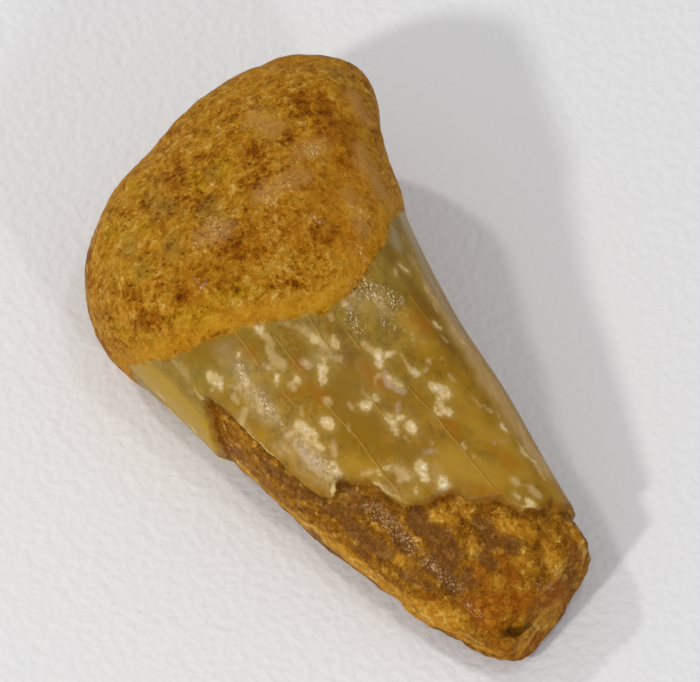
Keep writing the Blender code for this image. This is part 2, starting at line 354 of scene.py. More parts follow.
# Painted sheen: paler patches where the crust catches the lamps, most on its right side.
PAINTED_SHEEN = (
    (352, 96, 366, 120, 8), (362, 150, 376, 184, 8), (376, 180, 392, 210, 9),
    (364, 160, 376, 184, 8), (356, 104, 366, 118, 8), (262, 196, 300, 176, 8),
    (302, 152, 322, 146, 8), (204, 238, 224, 228, 9), (255, 118, 275, 128, 9),
    (350, 196, 366, 232, 5),
)
HONEY_PATCHES = (
    (450, 462, 500, 478, 16), (500, 440, 520, 470, 12), (545, 476, 556, 494, 8),
    (352, 462, 372, 470, 8), (452, 388, 468, 408, 8), (470, 420, 486, 436, 9),
    (404, 318, 424, 346, 8),
)
# Painted rim light: a pale strip along the right flank's edge, lit from behind.
RIM_LIT_FLANK = (
    (434, 300, 456, 332, 6), (456, 332, 488, 380, 10), (488, 380, 518, 430, 13),
    (518, 430, 544, 468, 10), (414, 262, 434, 300, 4),
)
PLUM_STAINS = (
    (482, 525, 490, 545, 8), (440, 536, 454, 555, 11), (508, 541, 512, 547, 7),
    (345, 500, 353, 506, 7), (376, 506, 406, 544, 9), (352, 530, 384, 552, 12),
    (402, 572, 430, 586, 7), (262, 464, 330, 508, 7), (414, 514, 420, 526, 7),
    (430, 562, 452, 582, 8), (484, 556, 494, 566, 6), (466, 574, 474, 584, 5),
    (354, 546, 366, 554, 5), (340, 508, 350, 520, 6), (344, 486, 356, 496, 6),
)
EMBER_STAINS = (
    (477, 566, 481, 582, 8), (482, 604, 496, 622, 13), (546, 600, 558, 612, 8),
    (346, 481, 370, 481, 4), (412, 499, 422, 501, 4), (440, 499, 454, 492, 4),
    (486, 506, 498, 497, 5), (214, 410, 222, 444, 6), (540, 500, 562, 510, 5),
    (570, 542, 574, 556, 4), (520, 640, 540, 634, 7), (500, 556, 510, 580, 7),
    (496, 640, 508, 648, 8), (476, 604, 556, 598, 12), (424, 594, 438, 604, 7),
    (500, 596, 520, 606, 9), (534, 594, 548, 604, 7), (478, 612, 486, 626, 9),
    (452, 628, 468, 640, 6),
)
SAND_STAINS = (
    (240, 470, 300, 520, 14), (300, 520, 345, 556, 16), (345, 556, 392, 592, 18),
    (392, 596, 452, 622, 22), (464, 638, 490, 650, 7), (392, 555, 400, 560, 8),
    (408, 573, 414, 577, 6), (432, 513, 448, 519, 4), (472, 550, 476, 555, 6),
    (493, 575, 497, 583, 5), (505, 526, 520, 530, 9), (460, 504, 468, 508, 6),
    (546, 550, 556, 574, 7), (524, 648, 545, 630, 4), (516, 548, 526, 554, 4),
    (566, 530, 582, 566, 6), (556, 514, 568, 524, 7), (516, 556, 528, 566, 6),
)
# Painted shade in the hollows at the tip.
TIP_HOLLOW_SHADE = ((505, 632, 528, 624, 6), (458, 627, 466, 631, 2.4))
# The broken edge's pale cream face, with a painted highlight where it catches the light.
EDGE_LIGHT = ((240, 424, 332, 489, 5), (378, 482, 406, 497, 2.5), (514, 496, 530, 506, 3))

# The strokes by the name of the distance that the mesh stores and the finishes read.
MARKS = {
    "cream": CREAM_FLECKS,
    "lacy": LACY_PATCHES,
    "faint": FAINT_FLECKS,
    "lilac": LILAC_WISPS,
    "milky": MILKY_PATCHES,
    "glitter": GLITTER,
    "rust": RUST_STAINS,
    "ruddy": RUDDY_STAINS,
    "olive": OLIVE_STAINS,
    "yellow": YELLOW_STAINS,
    "smooth": SMOOTH_CRUST,
    "clear": CLEAR_AMBER,
    "orange": ORANGE_STAINS,
    "flank": THROUGH_LIT_FLANK,
    "shade": SHADED_FLANK,
    "glow": RIM_LIT_FLANK,
    "straw": STRAW_FLANK,
    "sheen": PAINTED_SHEEN,
    "honey": HONEY_PATCHES,
    "plum": PLUM_STAINS,
    "ember": EMBER_STAINS,
    "sand": SAND_STAINS,
    "hollow_shade": TIP_HOLLOW_SHADE,
    "edge": EDGE_LIGHT,
}

# Clusters of strokes for the sides that face away from the picture, in millimetres.
SCATTERED = {
    # seed, clusters, distance round from the top, y, strokes in each, radius
    "cream": (11, 34, (13, 22), (-13, 7), (2, 7), (0.08, 0.3)),
    "rust": (5, 20, (11, 27), (9, 18.5), (1, 4), (0.3, 0.9)),
    "ruddy": (8, 12, (11, 27), (8, 18.5), (1, 3), (0.8, 1.6)),
    "yellow": (9, 12, (11, 27), (7, 18), (1, 3), (0.4, 1.0)),
    "plum": (6, 10, (9, 16), (-18, -6), (1, 3), (0.4, 0.8)),
}
CLUSTER_SPREAD = (0.8, 1.1)  # round and along
STROKE_SPREAD = (0.12, 0.25)

SEEN_FACING = 0.1  # how squarely a point of the surface faces the picture to carry a mark
NEAREST_POINTS = 4  # points of the surface that a mark's end is laid between
LEAST_GAP = 0.1  # pixels: added to the distance to each of them, so that none counts for all
FAR_AWAY = 9.0  # millimetres: past the soft edge of any mark

# ---------------------------------------------------------------- colours


def linear(part):
    """The shader's number for one part of a colour, from 0 to 255, by the usual screen curve."""
    screen = part / 255
    return screen / 12.92 if screen <= 0.04 else ((screen + 0.055) / 1.055) ** 2.4


def tone(red, green, blue):
    """A colour, with its parts from 0 to 255."""
    return (linear(red), linear(green), linear(blue), 1.0)


def tones(*colours):
    """A row of tones, from dark grit to light grit."""
    return [tone(*colour) for colour in colours]


CRUST_TONES = tones((96, 50, 4), (136, 78, 6), (170, 110, 16), (196, 140, 36), (224, 182, 98))
RUST_TONES = tones((86, 40, 2), (126, 66, 4), (158, 94, 12), (184, 122, 30), (214, 166, 82))
YELLOW_TONES = tones((96, 58, 2), (146, 98, 4), (182, 132, 14), (202, 156, 30), (226, 190, 94))
RIM_TONES = tones((138, 80, 4), (166, 106, 10), (190, 130, 22), (204, 148, 40), (222, 178, 90))
CRUST_OLIVE = tone(140, 116, 50)
CRUST_PIT = tone(84, 44, 4)
# painted sheen of lamp light on the crust
CRUST_SHEEN = tone(192, 140, 70)

SHELL_HAZE = tone(166, 138, 74)
SHELL_OLIVE = tone(146, 118, 40)
SHELL_AMBER = tone(154, 114, 20)
SHELL_HONEY = tone(184, 142, 42)
SHELL_SMOKE = tone(118, 88, 30)
SHELL_CLEAR = tone(144, 106, 14)
SHELL_ORANGE = tone(168, 104, 6)
FLANK_SHADE = tone(122, 86, 28)
# painted light shining through the right flank's edge
FLANK_THROUGH_LIGHT = tone(162, 142, 104)
# painted rim light on the right flank
FLANK_RIM_LIGHT = tone(200, 164, 102)
FLANK_STRAW = tone(186, 147, 36)
MILK = tone(216, 186, 130)
LILAC = tone(196, 170, 150)
CREAM = tone(248, 236, 212)
CREAM_YELLOW = tone(224, 196, 136)
HALO = tone(186, 158, 82)
CRACK_GOLD = tone(204, 156, 66)
# rust-brown, for rust and for painted shade beside cracks and under the shell's edge
RUST_AND_SHADE = tone(124, 76, 14)
# painted glint highlight
GLINT_HIGHLIGHT = tone(250, 226, 186)
# pale broken edge with its painted highlight
EDGE_CREAM_HIGHLIGHT = tone(226, 204, 140)

CORE_TONES = tones((66, 36, 2), (104, 60, 4), (140, 88, 12), (170, 116, 24), (208, 160, 74))
EMBER_TONES = tones((86, 36, 1), (120, 56, 2), (148, 80, 6), (176, 108, 18), (210, 154, 62))
SAND_TONES = tones((122, 72, 4), (166, 104, 12), (194, 132, 28), (212, 158, 54), (234, 200, 114))
PLUM_TONES = tones((60, 34, 6), (88, 50, 12), (114, 71, 26), (138, 94, 44), (190, 150, 110))
# dark pores of the core, and painted shade under the shell's edge and in the tip's hollow
CORE_DARK = tone(70, 42, 8)
FLOOR_WHITE = tone(238, 238, 238)


# ---------------------------------------------------------------- the form as functions


def smooth_curve(at, knots, values):
    """A cubic curve through (knots, values), read at each number in at."""
    knots = np.asarray(knots, float)
    values = np.asarray(values, float)
    slopes = np.gradient(values, knots)
    at = np.clip(at, knots[0], knots[-1])
    i = np.clip(np.searchsorted(knots, at, side="right") - 1, 0, len(knots) - 2)
    step = knots[i + 1] - knots[i]
    t = (at - knots[i]) / step
    return (
        values[i] * (1 + 2 * t) * (1 - t) ** 2
        + slopes[i] * step * t * (1 - t) ** 2
        + values[i + 1] * t * t * (3 - 2 * t)
        + slopes[i + 1] * step * t * t * (t - 1)
    )


def ramp(value, start, end):
    """0 before start, 1 after end, and smooth between them."""
    t = np.clip((value - start) / (end - start), 0, 1)
    return t * t * (3 - 2 * t)


def bumps(x, places):
    """The sum of smooth bumps, each given by its place, its width and its height."""
    return sum(height * np.exp(-(((x - place) / width) ** 2)) for place, width, height in places)


def rounded(box):
    """Points of a box from -1 to 1, moved onto a rounded body with blunt ends."""
    across, along, up = np.abs(box).T
    blunt = np.where(box[:, 1] < 0, TIP_BLUNTNESS, JOINT_BLUNTNESS)
    change = ramp(box[:, 1], *ROUNDNESS_CHANGE)
    roundness = SHAFT_ROUNDNESS + (JOINT_ROUNDNESS - SHAFT_ROUNDNESS) * change
    girth = (across**roundness + up**roundness) ** (1 / roundness)
    return box / ((girth**blunt + along**blunt) ** (1 / blunt))[:, None]


def body(unit):
    """The bone's plain form, in millimetres, for points of the rounded body."""
    middle, half = (JOINT_Y + TIP_Y) / 2, (JOINT_Y - TIP_Y) / 2
    y = middle + half * unit[:, 1]
    knots, *rows = zip(*SECTIONS)
    left, right, top, under = (smooth_curve(y, knots, row) for row in rows)
    x = (left + right) / 2 + unit[:, 0] * (right - left) / 2
    z = (top + under) / 2 + unit[:, 2] * (top - under) / 2
    z += smooth_curve(y, *zip(*SIDE_TILT)) * (x - (left + right) / 2)
    y += bumps(x, KNUCKLES) * ramp(y, KNUCKLES_BEGIN, JOINT_Y)
    y += bumps(x, TIP_CORNERS) * ramp(-y, -CORNERS_BEGIN, -TIP_Y)
    return np.stack([x, y, z], axis=1)


def unrolled(angle, y):
    """A place on the bone's surface laid out flat: the way round from the top, and y."""
    return np.radians(np.asarray(angle) - 90) * smooth_curve(y, *zip(*MEAN_RADIUS)), np.asarray(y)


def beyond(angle, y, line):
    """How far each place lies to +Y of a line round the bone, below 0 where it lies to -Y."""
    u, v = unrolled(angle, y)
    line_u, line_v = unrolled(*np.array(line, float).T)
    nearest = np.full(len(u), np.inf)
    for k in range(len(line) - 1):
        piece = to_segment(u, v, line_u[k], line_v[k], line_u[k + 1], line_v[k + 1])
        nearest = np.minimum(nearest, piece)
    return nearest * np.where(v > np.interp(u, line_u, line_v), 1, -1)


def lumps(points, sizes, seed):
    """Smooth noise from about -1 to 1, with lumps of the given sizes across, along and up."""
    scaled = points / np.asarray(sizes, float) + seed
    return np.array([noise.noise(Vector(p)) for p in scaled])


def broken(points):
    """Points past a flat break at the tip, moved back onto it."""
    for facing, through in BREAKS:
        facing = np.array(facing) / np.linalg.norm(facing)
        past = (points - np.array(through)) @ facing
        points = points - np.outer(np.maximum(past, 0), facing) * BREAK_FLATNESS
    return points


def chipped(points):
    """Points inside a chip's ball, moved out onto it."""
    for centre, radius in CHIPS:
        off = points - np.array(centre)
        far = np.linalg.norm(off, axis=1)[:, None]
        points = points + off * np.maximum(radius / np.maximum(far, 0.1) - 1, 0)
    return points


# ---------------------------------------------------------------- modelling


def select_edges(mesh, axis):
    """Select the edges of a box that run along one axis."""
    for edge in mesh.edges:
        a, b = (mesh.vertices[i].co for i in edge.vertices)
        edge.select = abs((a - b)[axis]) > 1e-6


def divided_box(name, cells):
    """A box from -1 to 1 whose faces are divided into cells across, along and up."""
    bpy.ops.object.select_all(action="DESELECT")
    bpy.ops.mesh.primitive_cube_add(size=2)
    box = bpy.context.object
    box.name = box.data.name = name
    for axis in range(3):
        bpy.ops.object.mode_set(mode="EDIT")
        bpy.ops.mesh.select_mode(type="EDGE")
        bpy.ops.mesh.select_all(action="DESELECT")
        bpy.ops.object.mode_set(mode="OBJECT")
        select_edges(box.data, axis)
        bpy.ops.object.mode_set(mode="EDIT")
        bpy.ops.mesh.subdivide(number_cuts=cells[axis] - 1)
        bpy.ops.object.mode_set(mode="OBJECT")
    return box


def read_vectors(rows, key):
    """One vector for each row of a mesh's data."""
    flat = np.empty(len(rows) * 3, np.float32)
    rows.foreach_get(key, flat)
    return flat.reshape(-1, 3).astype(float)


def move_points(mesh, points):
    mesh.vertices.foreach_set("co", points.astype(np.float32).ravel())
    mesh.update()


def store(mesh, name, values):
    layer = mesh.attributes.new(name, "FLOAT", "POINT")
    layer.data.foreach_set("value", values.astype(np.float32))


def relief(unit, points, crust, bare, u, v):
    """How far the surface stands out from the plain form at each point."""
    lip = bumps(crust, ((CRUST_LIP_PLACE, CRUST_LIP_WIDTH, CRUST_LIP),))
    out = CRUST_STEP * ramp(crust, *CRUST_SLOPE) + lip * np.maximum(unit[:, 2], 0)
    out -= SHELL_THICKNESS * ramp(bare, *SHELL_SLOPE)
    on_crust, on_core = ramp(crust, 0, CRUST_FADE), ramp(bare, 0, CORE_FADE)
    on_shell = (1 - on_crust) * (1 - on_core)
    share = {"all over": 1, "crust": on_crust, "core": on_core, "shell": on_shell}
    for where, height, sizes, seed in LUMPS + FINE_LUMPS:
        out += height * share[where] * lumps(points, sizes, seed)
    for pit_angle, pit_y, radius, depth in PITS:
        pit_u, pit_v = unrolled((pit_angle + 90) % 360 - 90, pit_y)
        out -= depth * np.exp(-((u - pit_u) ** 2 + (v - pit_v) ** 2) / radius**2)
    return out


def strokes_on_bone(strokes, points, facing, u, v):
    """Strokes given by pixels, laid on the bone: round, along, round, along, radius."""
    seen = facing @ np.array(RIGHT.cross(UP)) > SEEN_FACING
    across = ORIGIN_PIXEL[0] + PIXELS_PER_MM * points[seen] @ np.array(RIGHT)
    down = ORIGIN_PIXEL[1] - PIXELS_PER_MM * points[seen] @ np.array(UP)
    places = np.stack([u[seen], v[seen]], axis=1)

    def place(x, y):
        distance = np.hypot(across - x, down - y)
        nearest = np.argpartition(distance, NEAREST_POINTS)[:NEAREST_POINTS]
        return np.average(places[nearest], axis=0, weights=1 / (distance[nearest] + LEAST_GAP))

    laid = []
    for x1, y1, x2, y2, radius in strokes:
        laid.append((*place(x1, y1), *place(x2, y2), radius / PIXELS_PER_MM))
    return laid


def to_segment(u, v, u1, v1, u2, v2):
    """How far each place lies from the straight line between two places."""
    du, dv = u2 - u1, v2 - v1
    t = np.clip(((u - u1) * du + (v - v1) * dv) / max(du * du + dv * dv, 1e-9), 0, 1)
    return np.hypot(u - u1 - t * du, v - v1 - t * dv)


def stroke_distance(u, v, strokes):
    """How far each place lies outside the nearest stroke, in millimetres, below 0 inside it."""
    nearest = np.full(len(u), FAR_AWAY)
    for *ends, radius in strokes:
        nearest = np.minimum(nearest, to_segment(u, v, *ends) - radius)
    return nearest


def beside(u, v, lines):
    """How far each place lies to one side of the nearest line, and how far it lies from it."""
    side, far = np.full(len(u), FAR_AWAY), np.full(len(u), FAR_AWAY)
    for u1, v1, u2, v2, _ in lines:
        distance = to_segment(u, v, u1, v1, u2, v2)
        du, dv = u2 - u1, v2 - v1
        off = ((u - u1) * dv - (v - v1) * du) / np.hypot(du, dv)
        side = np.where(distance < far, off, side)
        far = np.minimum(far, distance)
    return side, far


def scattered(seed, clusters, around, along, crowd, radii):
    """Clusters of strokes for the sides that the picture doesn't show."""
    chance = np.random.default_rng(seed)
    strokes = []
    for _ in range(clusters):
        flank = chance.choice((-1, 1))
        middle = flank * chance.uniform(*around), chance.uniform(*along)
        for _ in range(chance.integers(*crowd)):
            u, v = middle + chance.normal(0, CLUSTER_SPREAD)
            du, dv = chance.normal(0, STROKE_SPREAD)
            strokes.append((u, v, u + du, v + dv, chance.uniform(*radii)))
    return strokes


def model_bone():
    """The whole bone as one closed mesh, with its marks stored as distances from them."""
    bone = divided_box("bone", CELLS)
    box = read_vectors(bone.data.vertices, "co")
    box[:, 1] += TIP_CROWDING * (box[:, 1] ** 2 - 1)
    unit = rounded(box)
    plain = body(unit)
    move_points(bone.data, plain)
    facing = read_vectors(bone.data.vertex_normals, "vector")
    angle = (np.degrees(np.arctan2(unit[:, 2], unit[:, 0])) + 90) % 360 - 90
    u, v = unrolled(angle, plain[:, 1])
    crust = beyond(angle, v, CRUST_RIM)
    ragged = sum(depth * lumps(plain, (size,) * 3, seed) for depth, size, seed in RAGGEDNESS)
    bare = ragged - beyond(angle, v, SHELL_EDGE)
    points = chipped(broken(plain + facing * relief(unit, plain, crust, bare, u, v)[:, None]))
    points[:, 2] = np.maximum(points[:, 2], 0)
    points[:, :2] -= (points.min(axis=0) + points.max(axis=0))[:2] / 2
    move_points(bone.data, points * MM)
    side, far = beside(u, v, strokes_on_bone(HAIRLINES, points, facing, u, v))
    for name, values in {"crust": crust, "bare": bare, "crack side": side, "crack": far}.items():
        store(bone.data, name, values)
    for name, strokes in MARKS.items():
        laid = strokes_on_bone(strokes, points, facing, u, v)
        if name in SCATTERED:
            laid += scattered(*SCATTERED[name])
        store(bone.data, name, stroke_distance(u, v, laid))
    bone.data.shade_smooth()
    return bone


# ---------------------------------------------------------------- shader writing

# The sockets of a Mix node that mixes colours.
MIX_SHARE, MIX_FIRST, MIX_SECOND, MIX_RESULT = 0, 6, 7, 2

MIDDLE = 0.5  # the level that noise and chunks vary about
GLINT_SIZE = (0.12, 0.2, 0.12)
GLOW_SPREAD = (1.0, 0.55, 0.2)  # red light soaks in farthest, blue least


class Value:
    """A number that changes over the surface. Sums on it add Math nodes to its material."""

    def __init__(self, paint, socket):
        self.paint = paint
        self.socket = socket

    def math(self, operation, *others):
        return self.paint.node("ShaderNodeMath", {"operation": operation}, (self, *others))

    def __add__(self, other):
        return self.math("ADD", other)

    def __radd__(self, other):
        return self.math("ADD", other)

    def __sub__(self, other):
        return self.math("SUBTRACT", other)

    def __rsub__(self, other):
        return self.paint.node("ShaderNodeMath", {"operation": "SUBTRACT"}, (other, self))

    def __mul__(self, other):
        return self.math("MULTIPLY", other)

    def __rmul__(self, other):
        return self.math("MULTIPLY", other)

    def __abs__(self):
        return self.math("ABSOLUTE")

    def smallest(self, other):
        return self.math("MINIMUM", other)

    def largest(self, other):
        return self.math("MAXIMUM", other)

    def rise(self, start, end):
        """0 up to start, 1 from end, and smooth between them."""
        settings = {"interpolation_type": "SMOOTHSTEP"}
        if start < end:
            return self.paint.node("ShaderNodeMapRange", settings, (self, start, end, 0.0, 1.0))
        return self.paint.node("ShaderNodeMapRange", settings, (self, end, start, 1.0, 0.0))


class Paint:
    """Writes one material's nodes."""

    def __init__(self, name):
        self.material = bpy.data.materials.new(name)
        self.material.use_nodes = True
        self.tree = self.material.node_tree
        self.tree.nodes.clear()
        self.output = self.tree.nodes.new("ShaderNodeOutputMaterial")
        place = self.node("ShaderNodeTexCoord", {}, (), "Object")
        settings = {"operation": "SCALE"}
        self.place = self.node("ShaderNodeVectorMath", settings, {0: place, "Scale": 1 / MM})

    def node(self, kind, settings, inputs, output=0):
        made = self.tree.nodes.new(kind)
        for key, value in settings.items():
            setattr(made, key, value)
        pairs = inputs.items() if isinstance(inputs, dict) else enumerate(inputs)
        for key, value in pairs:
            if isinstance(value, Value):
                self.tree.links.new(value.socket, made.inputs[key])
            else:
                made.inputs[key].default_value = value
        return Value(self, made.outputs[output])

    def field(self, name):
        """A distance that the mesh stores, in millimetres."""
        return self.node("ShaderNodeAttribute", {"attribute_name": name}, (), "Fac")

    def marked(self, name, wobble, outside, inside):
        """1 within the marks of one name and 0 away from them, with a wavering soft edge."""
        return (self.field(name) + wobble).rise(outside, inside)

    def stretched(self, sizes, shift):
        """The place on the piece counted in lumps of the given sizes, and moved along."""
        settings = {"operation": "DIVIDE"}
        scaled = self.node("ShaderNodeVectorMath", settings, {0: self.place, 1: sizes})
        settings = {"operation": "ADD"}
        return self.node("ShaderNodeVectorMath", settings, {0: scaled, 1: (shift, shift, shift)})

    def grain(self, size, detail=3.0, roughness=0.55, shift=0.0, distortion=0.0):
        """Noise about its middle level, with lumps of one size or of a size for each direction."""
        sizes = size if isinstance(size, tuple) else (size, size, size)
        return self.node(
            "ShaderNodeTexNoise",
            {},
            {
                "Vector": self.stretched(sizes, shift),
                "Scale": 1.0,
                "Detail": detail,
                "Roughness": roughness,
                "Distortion": distortion,
            },
        )

    def threads(self, *grain):
        """How far a noise is from its middle level: 0 along thin winding threads."""
        return abs(self.grain(*grain) - MIDDLE)

    def chunks(self, size, shift, bend=0.9):
        """A number of its own for each of the ragged chunks of one size."""
        place = self.stretched((size, size, size), shift)
        inputs = {"Vector": place, "Scale": 1.4, "Detail": 2.0}
        wander = self.node("ShaderNodeTexNoise", {}, inputs, "Color")
        inputs = {0: wander, 1: (bend, bend, bend), 2: place}
        bent = self.node("ShaderNodeVectorMath", {"operation": "MULTIPLY_ADD"}, inputs)
        return self.node("ShaderNodeTexVoronoi", {}, {"Vector": bent, "Scale": 1.0}, "Color")

    def mix(self, share, first, second):
        """Two colours mixed, with the given share of the second."""
        inputs = {MIX_SHARE: share, MIX_FIRST: first, MIX_SECOND: second}
        return self.node("ShaderNodeMix", {"data_type": "RGBA"}, inputs, MIX_RESULT)

    def coated(self, colour, *coats):
        """A colour with coats over it, each given by how much of it shows and by its colour."""
        for share, coat in coats:
            colour = self.mix(share, colour, coat)
        return colour

    def shades(self, light, row):
        """A colour read along a row of tones, from the first at 0 to the last at 1."""
        colour, step = row[0], 1 / (len(row) - 1)
        for k, shade in enumerate(row[1:]):
            colour = self.mix(light.rise(k * step, (k + 1) * step), colour, shade)
        return colour

    def glints(self, place, shift):
        """Painted glints: tiny highlights of crystal facets catching the lamps, thickest in the
        middle of the places marked for them.
        """
        crowd = place.rise(0.4, -0.4)
        sparks = self.grain(GLINT_SIZE, 2.0, 0.6, shift) + crowd * 0.08
        return crowd * sparks.rise(0.62, 0.7)

    def bump(self, height, depth):
        """Relief too fine to model, with its depth in millimetres."""
        inputs = {"Height": height, "Distance": depth * MM, "Strength": 1.0}
        return self.node("ShaderNodeBump", {}, inputs)

    def stone(self, colour, roughness, normal, shine, glow, glow_reach):
        """A stony finish. Glow is the share of light that soaks in, glow_reach how far in mm."""
        return self.node(
            "ShaderNodeBsdfPrincipled",
            {},
            {
                "Base Color": colour,
                "Roughness": roughness,
                "Normal": normal,
                "Specular IOR Level": shine,
                "Subsurface Weight": glow,
                "Subsurface Radius": GLOW_SPREAD,
                "Subsurface Scale": glow_reach * MM,
            },
        )

    def finish(self, shader):
        self.tree.links.new(shader.socket, self.output.inputs["Surface"])
        return self.material


# ---------------------------------------------------------------- finishes


def crust_finish(paint, crust):
    """Ochre iron-stained crust: crumbly grains in yellow, orange and rust."""
    zone = paint.grain(4.5, 2.0, 0.5, 1.0)
    patch = paint.grain(1.3, 3.0, 0.58, 3.0, 0.3)
    crumbs = paint.grain(0.5, 3.0, 0.6, 7.0, 0.6)
    specks = paint.grain(0.26, 2.0, 0.5, 19.0).rise(0.4, 0.34)
    chunks = paint.chunks(0.3, 5.0)
    chips = paint.chunks(0.16, 15.0)
    strands = paint.threads(0.75, 3.0, 0.55, 15.0, 1.3).rise(0.05, 0.01)
    loose = (patch - MIDDLE) * 1.8
    rim = crust.rise(0.0, 0.4) * crust.rise(1.6, 0.6)
    smooth = paint.marked("smooth", loose, 0.6, -0.5)
    rough = 1.0 - rim * 0.45 - smooth * 0.45
    rust = paint.marked("rust", loose * 0.7 + (crumbs - MIDDLE) * 1.6, 0.35, -0.35)
    ruddy = paint.marked("ruddy", loose, 0.6, -0.6)
    yellow = paint.marked("yellow", loose, 0.5, -0.5)
    olive = paint.marked("olive", loose, 0.5, -0.5)
    # painted sheen where the crust catches the light
    sheen = paint.marked("sheen", loose, 0.5, -0.5)
    uneven = (patch - MIDDLE) * 0.55 + (crumbs - MIDDLE) * 0.8
    uneven = uneven + (chunks - MIDDLE) * 0.16 + (chips - MIDDLE) * 0.18
    light = uneven * rough + 0.6 + (zone - MIDDLE) * 0.2 - rust * 0.16
    grit = strands * 0.14 + chunks.rise(0.7, 0.78) * 0.05 - chunks.rise(0.3, 0.24) * 0.13
    light = light + grit * rough
    glints = paint.glints(paint.field("glitter"), 4.0)
    colour = paint.coated(
        paint.shades(light, CRUST_TONES),
        (rust.largest(ruddy * 0.9) * 0.6, paint.shades(light, RUST_TONES)),
        (yellow * 0.6, paint.shades(light, YELLOW_TONES)),
        (olive * 0.35, CRUST_OLIVE),
        (sheen * 0.75, CRUST_SHEEN),
        (rim * 0.6, paint.shades(light, RIM_TONES)),
        (specks * (patch - rust * 0.2).rise(0.58, 0.38) * rough * 0.75, CRUST_PIT),
        # painted glints
        (glints * 0.42, GLINT_HIGHLIGHT),
    )
    height = patch * 0.8 + crumbs * 0.7 + chunks * 0.25 + chips * 0.12 + strands * 0.12
    normal = paint.bump(height * rough, 0.3)
    return paint.stone(colour, 0.5 - glints * 0.3, normal, 0.03, 0.12, 0.8)


def shell_finish(paint, crust, bare):
    """Glassy silica: olive near the crust, amber below, with flecks, wisps and cracks."""
    clouds = paint.grain((2.2, 4.6, 2.2), 3.0, 0.55, 5.0, 0.3)
    streaks = paint.grain((0.45, 3.4, 0.45), 3.0, 0.6, 2.0, 0.3)
    drift = paint.grain((0.9, 1.5, 0.9), 4.0, 0.6, 37.0, 0.4)
    mottle = paint.grain(0.75, 4.0, 0.6, 9.0, 0.3)
    fine = paint.grain(0.32, 3.0, 0.6, 13.0)
    web = paint.threads(0.8, 3.0, 0.6, 21.0, 0.7).rise(0.06, 0.01)
    lace = paint.threads(0.45, 2.0, 0.6, 43.0, 0.8).rise(0.07, 0.015)
    shards = paint.chunks(0.22, 61.0).rise(0.25, 0.5) * 0.35 + 0.65
    soft = (mottle - MIDDLE) * 1.4 + (clouds - MIDDLE) * 1.2
    torn = (mottle - MIDDLE) * 0.35 + (fine - MIDDLE) * 0.3

    amber = (crust * -1.0 + (clouds - MIDDLE) * 9.0).rise(1.2, 6.5)
    # painted rim light along the right flank
    glow = paint.marked("glow", soft * 0.8, 0.5, -0.5)
    colour = paint.coated(
        SHELL_OLIVE,
        (amber, SHELL_AMBER),
        (mottle.rise(0.48, 0.7) * 0.45, SHELL_HONEY),
        (streaks.rise(0.52, 0.7) * 0.35, SHELL_SMOKE),
        (drift.rise(0.46, 0.34) * 0.55, SHELL_SMOKE),
        (drift.rise(0.54, 0.68) * (0.6 - amber * 0.3), SHELL_HAZE),
        (paint.marked("honey", soft * 0.6, 0.6, -0.6) * 0.75, SHELL_HONEY),
        (paint.marked("clear", soft, 0.5, -0.5) * 0.8, SHELL_CLEAR),
        (paint.marked("orange", soft * 0.6 + torn, 0.3, -0.3) * 0.55, SHELL_ORANGE),
        (paint.marked("shade", soft * 0.4, 0.4, -0.4) * 0.6, FLANK_SHADE),
        # painted light through the right flank's edge
        (paint.marked("flank", soft * 0.4, 0.4, -0.25) * 0.75, FLANK_THROUGH_LIGHT),
        (glow * (streaks.rise(0.35, 0.65) * 0.4 + 0.55), FLANK_RIM_LIGHT),
        (paint.marked("straw", soft * 0.3, 0.5, -0.5) * 0.75, FLANK_STRAW),
    )

    lacy = paint.marked("lacy", soft * 0.4, 0.4, -0.5)
    milky = paint.marked("milky", soft * 0.5 + torn, 0.4, -0.45)
    flakes = lace * drift * 0.5 + fine.rise(0.5, 0.66) * 0.5
    cream_place = paint.field("cream")
    cream = (cream_place + torn * 1.3).rise(0.08, -0.11) * (0.3 + drift).smallest(1.0) * shards
    white = (cream_place + torn * 1.1).rise(0.0, -0.24) * fine.rise(0.44, 0.6)
    colour = paint.coated(
        colour,
        (lacy * mottle.rise(0.5, 0.36) * 0.4, SHELL_SMOKE),
        (lacy * flakes * 0.5, HALO),
        (milky * (drift + web * 0.5) * 0.45, MILK),
        ((cream_place + torn * 1.4).rise(0.4, -0.05) * 0.3, HALO),
        (paint.marked("faint", torn, 0.1, -0.14) * (0.1 + drift * 0.8), MILK),
        (paint.marked("lilac", torn, 0.1, -0.12) * 0.45, LILAC),
        (cream, paint.mix(white, CREAM_YELLOW, CREAM)),
    )

    crack_side = paint.field("crack side") + (paint.grain(1.1, 3.0, 0.6, 31.0) - MIDDLE) * 0.22
    crack_near = paint.field("crack").rise(0.32, 0.1) * (mottle * 1.6)
    # painted shadow on one side of each crack
    crack_shadow = abs(crack_side - 0.08).rise(0.06, 0.02) * crack_near
    cracks = abs(crack_side).rise(0.05, 0.015) * crack_near
    glitter = paint.field("glitter")
    glints = paint.glints(glitter, 4.0)
    edge = paint.field("edge")
    # pale cream broken edge, brightened by a painted highlight
    pale_lit_edge = (bare + torn).rise(-0.16, 0.0) * (edge + torn).rise(0.3, -0.1)
    # dark band along the shell's broken edge: partly rust, partly painted shadow under its
    # overhang
    rust_and_shade_edge = (bare + torn).rise(-0.3, 0.05) * edge.rise(0.1, 0.5)
    colour = paint.coated(
        colour,
        (crack_shadow * 0.35, RUST_AND_SHADE),
        (cracks * 0.55, CRACK_GOLD),
        (glitter.rise(0.3, -0.3) * fine.rise(0.52, 0.42) * 0.5, SHELL_SMOKE),
        # painted glints
        (glints * 0.9, GLINT_HIGHLIGHT),
        (pale_lit_edge * (0.35 + drift), EDGE_CREAM_HIGHLIGHT),
        (rust_and_shade_edge * 0.6, RUST_AND_SHADE),
    )
    height = mottle * 0.3 + fine * 0.2 + glints * 0.5 + cracks * 0.3 + cream * 0.15
    normal = paint.bump(height, 0.07)
    return paint.stone(colour, 0.26 + mottle * 0.16 - glints * 0.13, normal, 0.12, 0.4, 1.0)


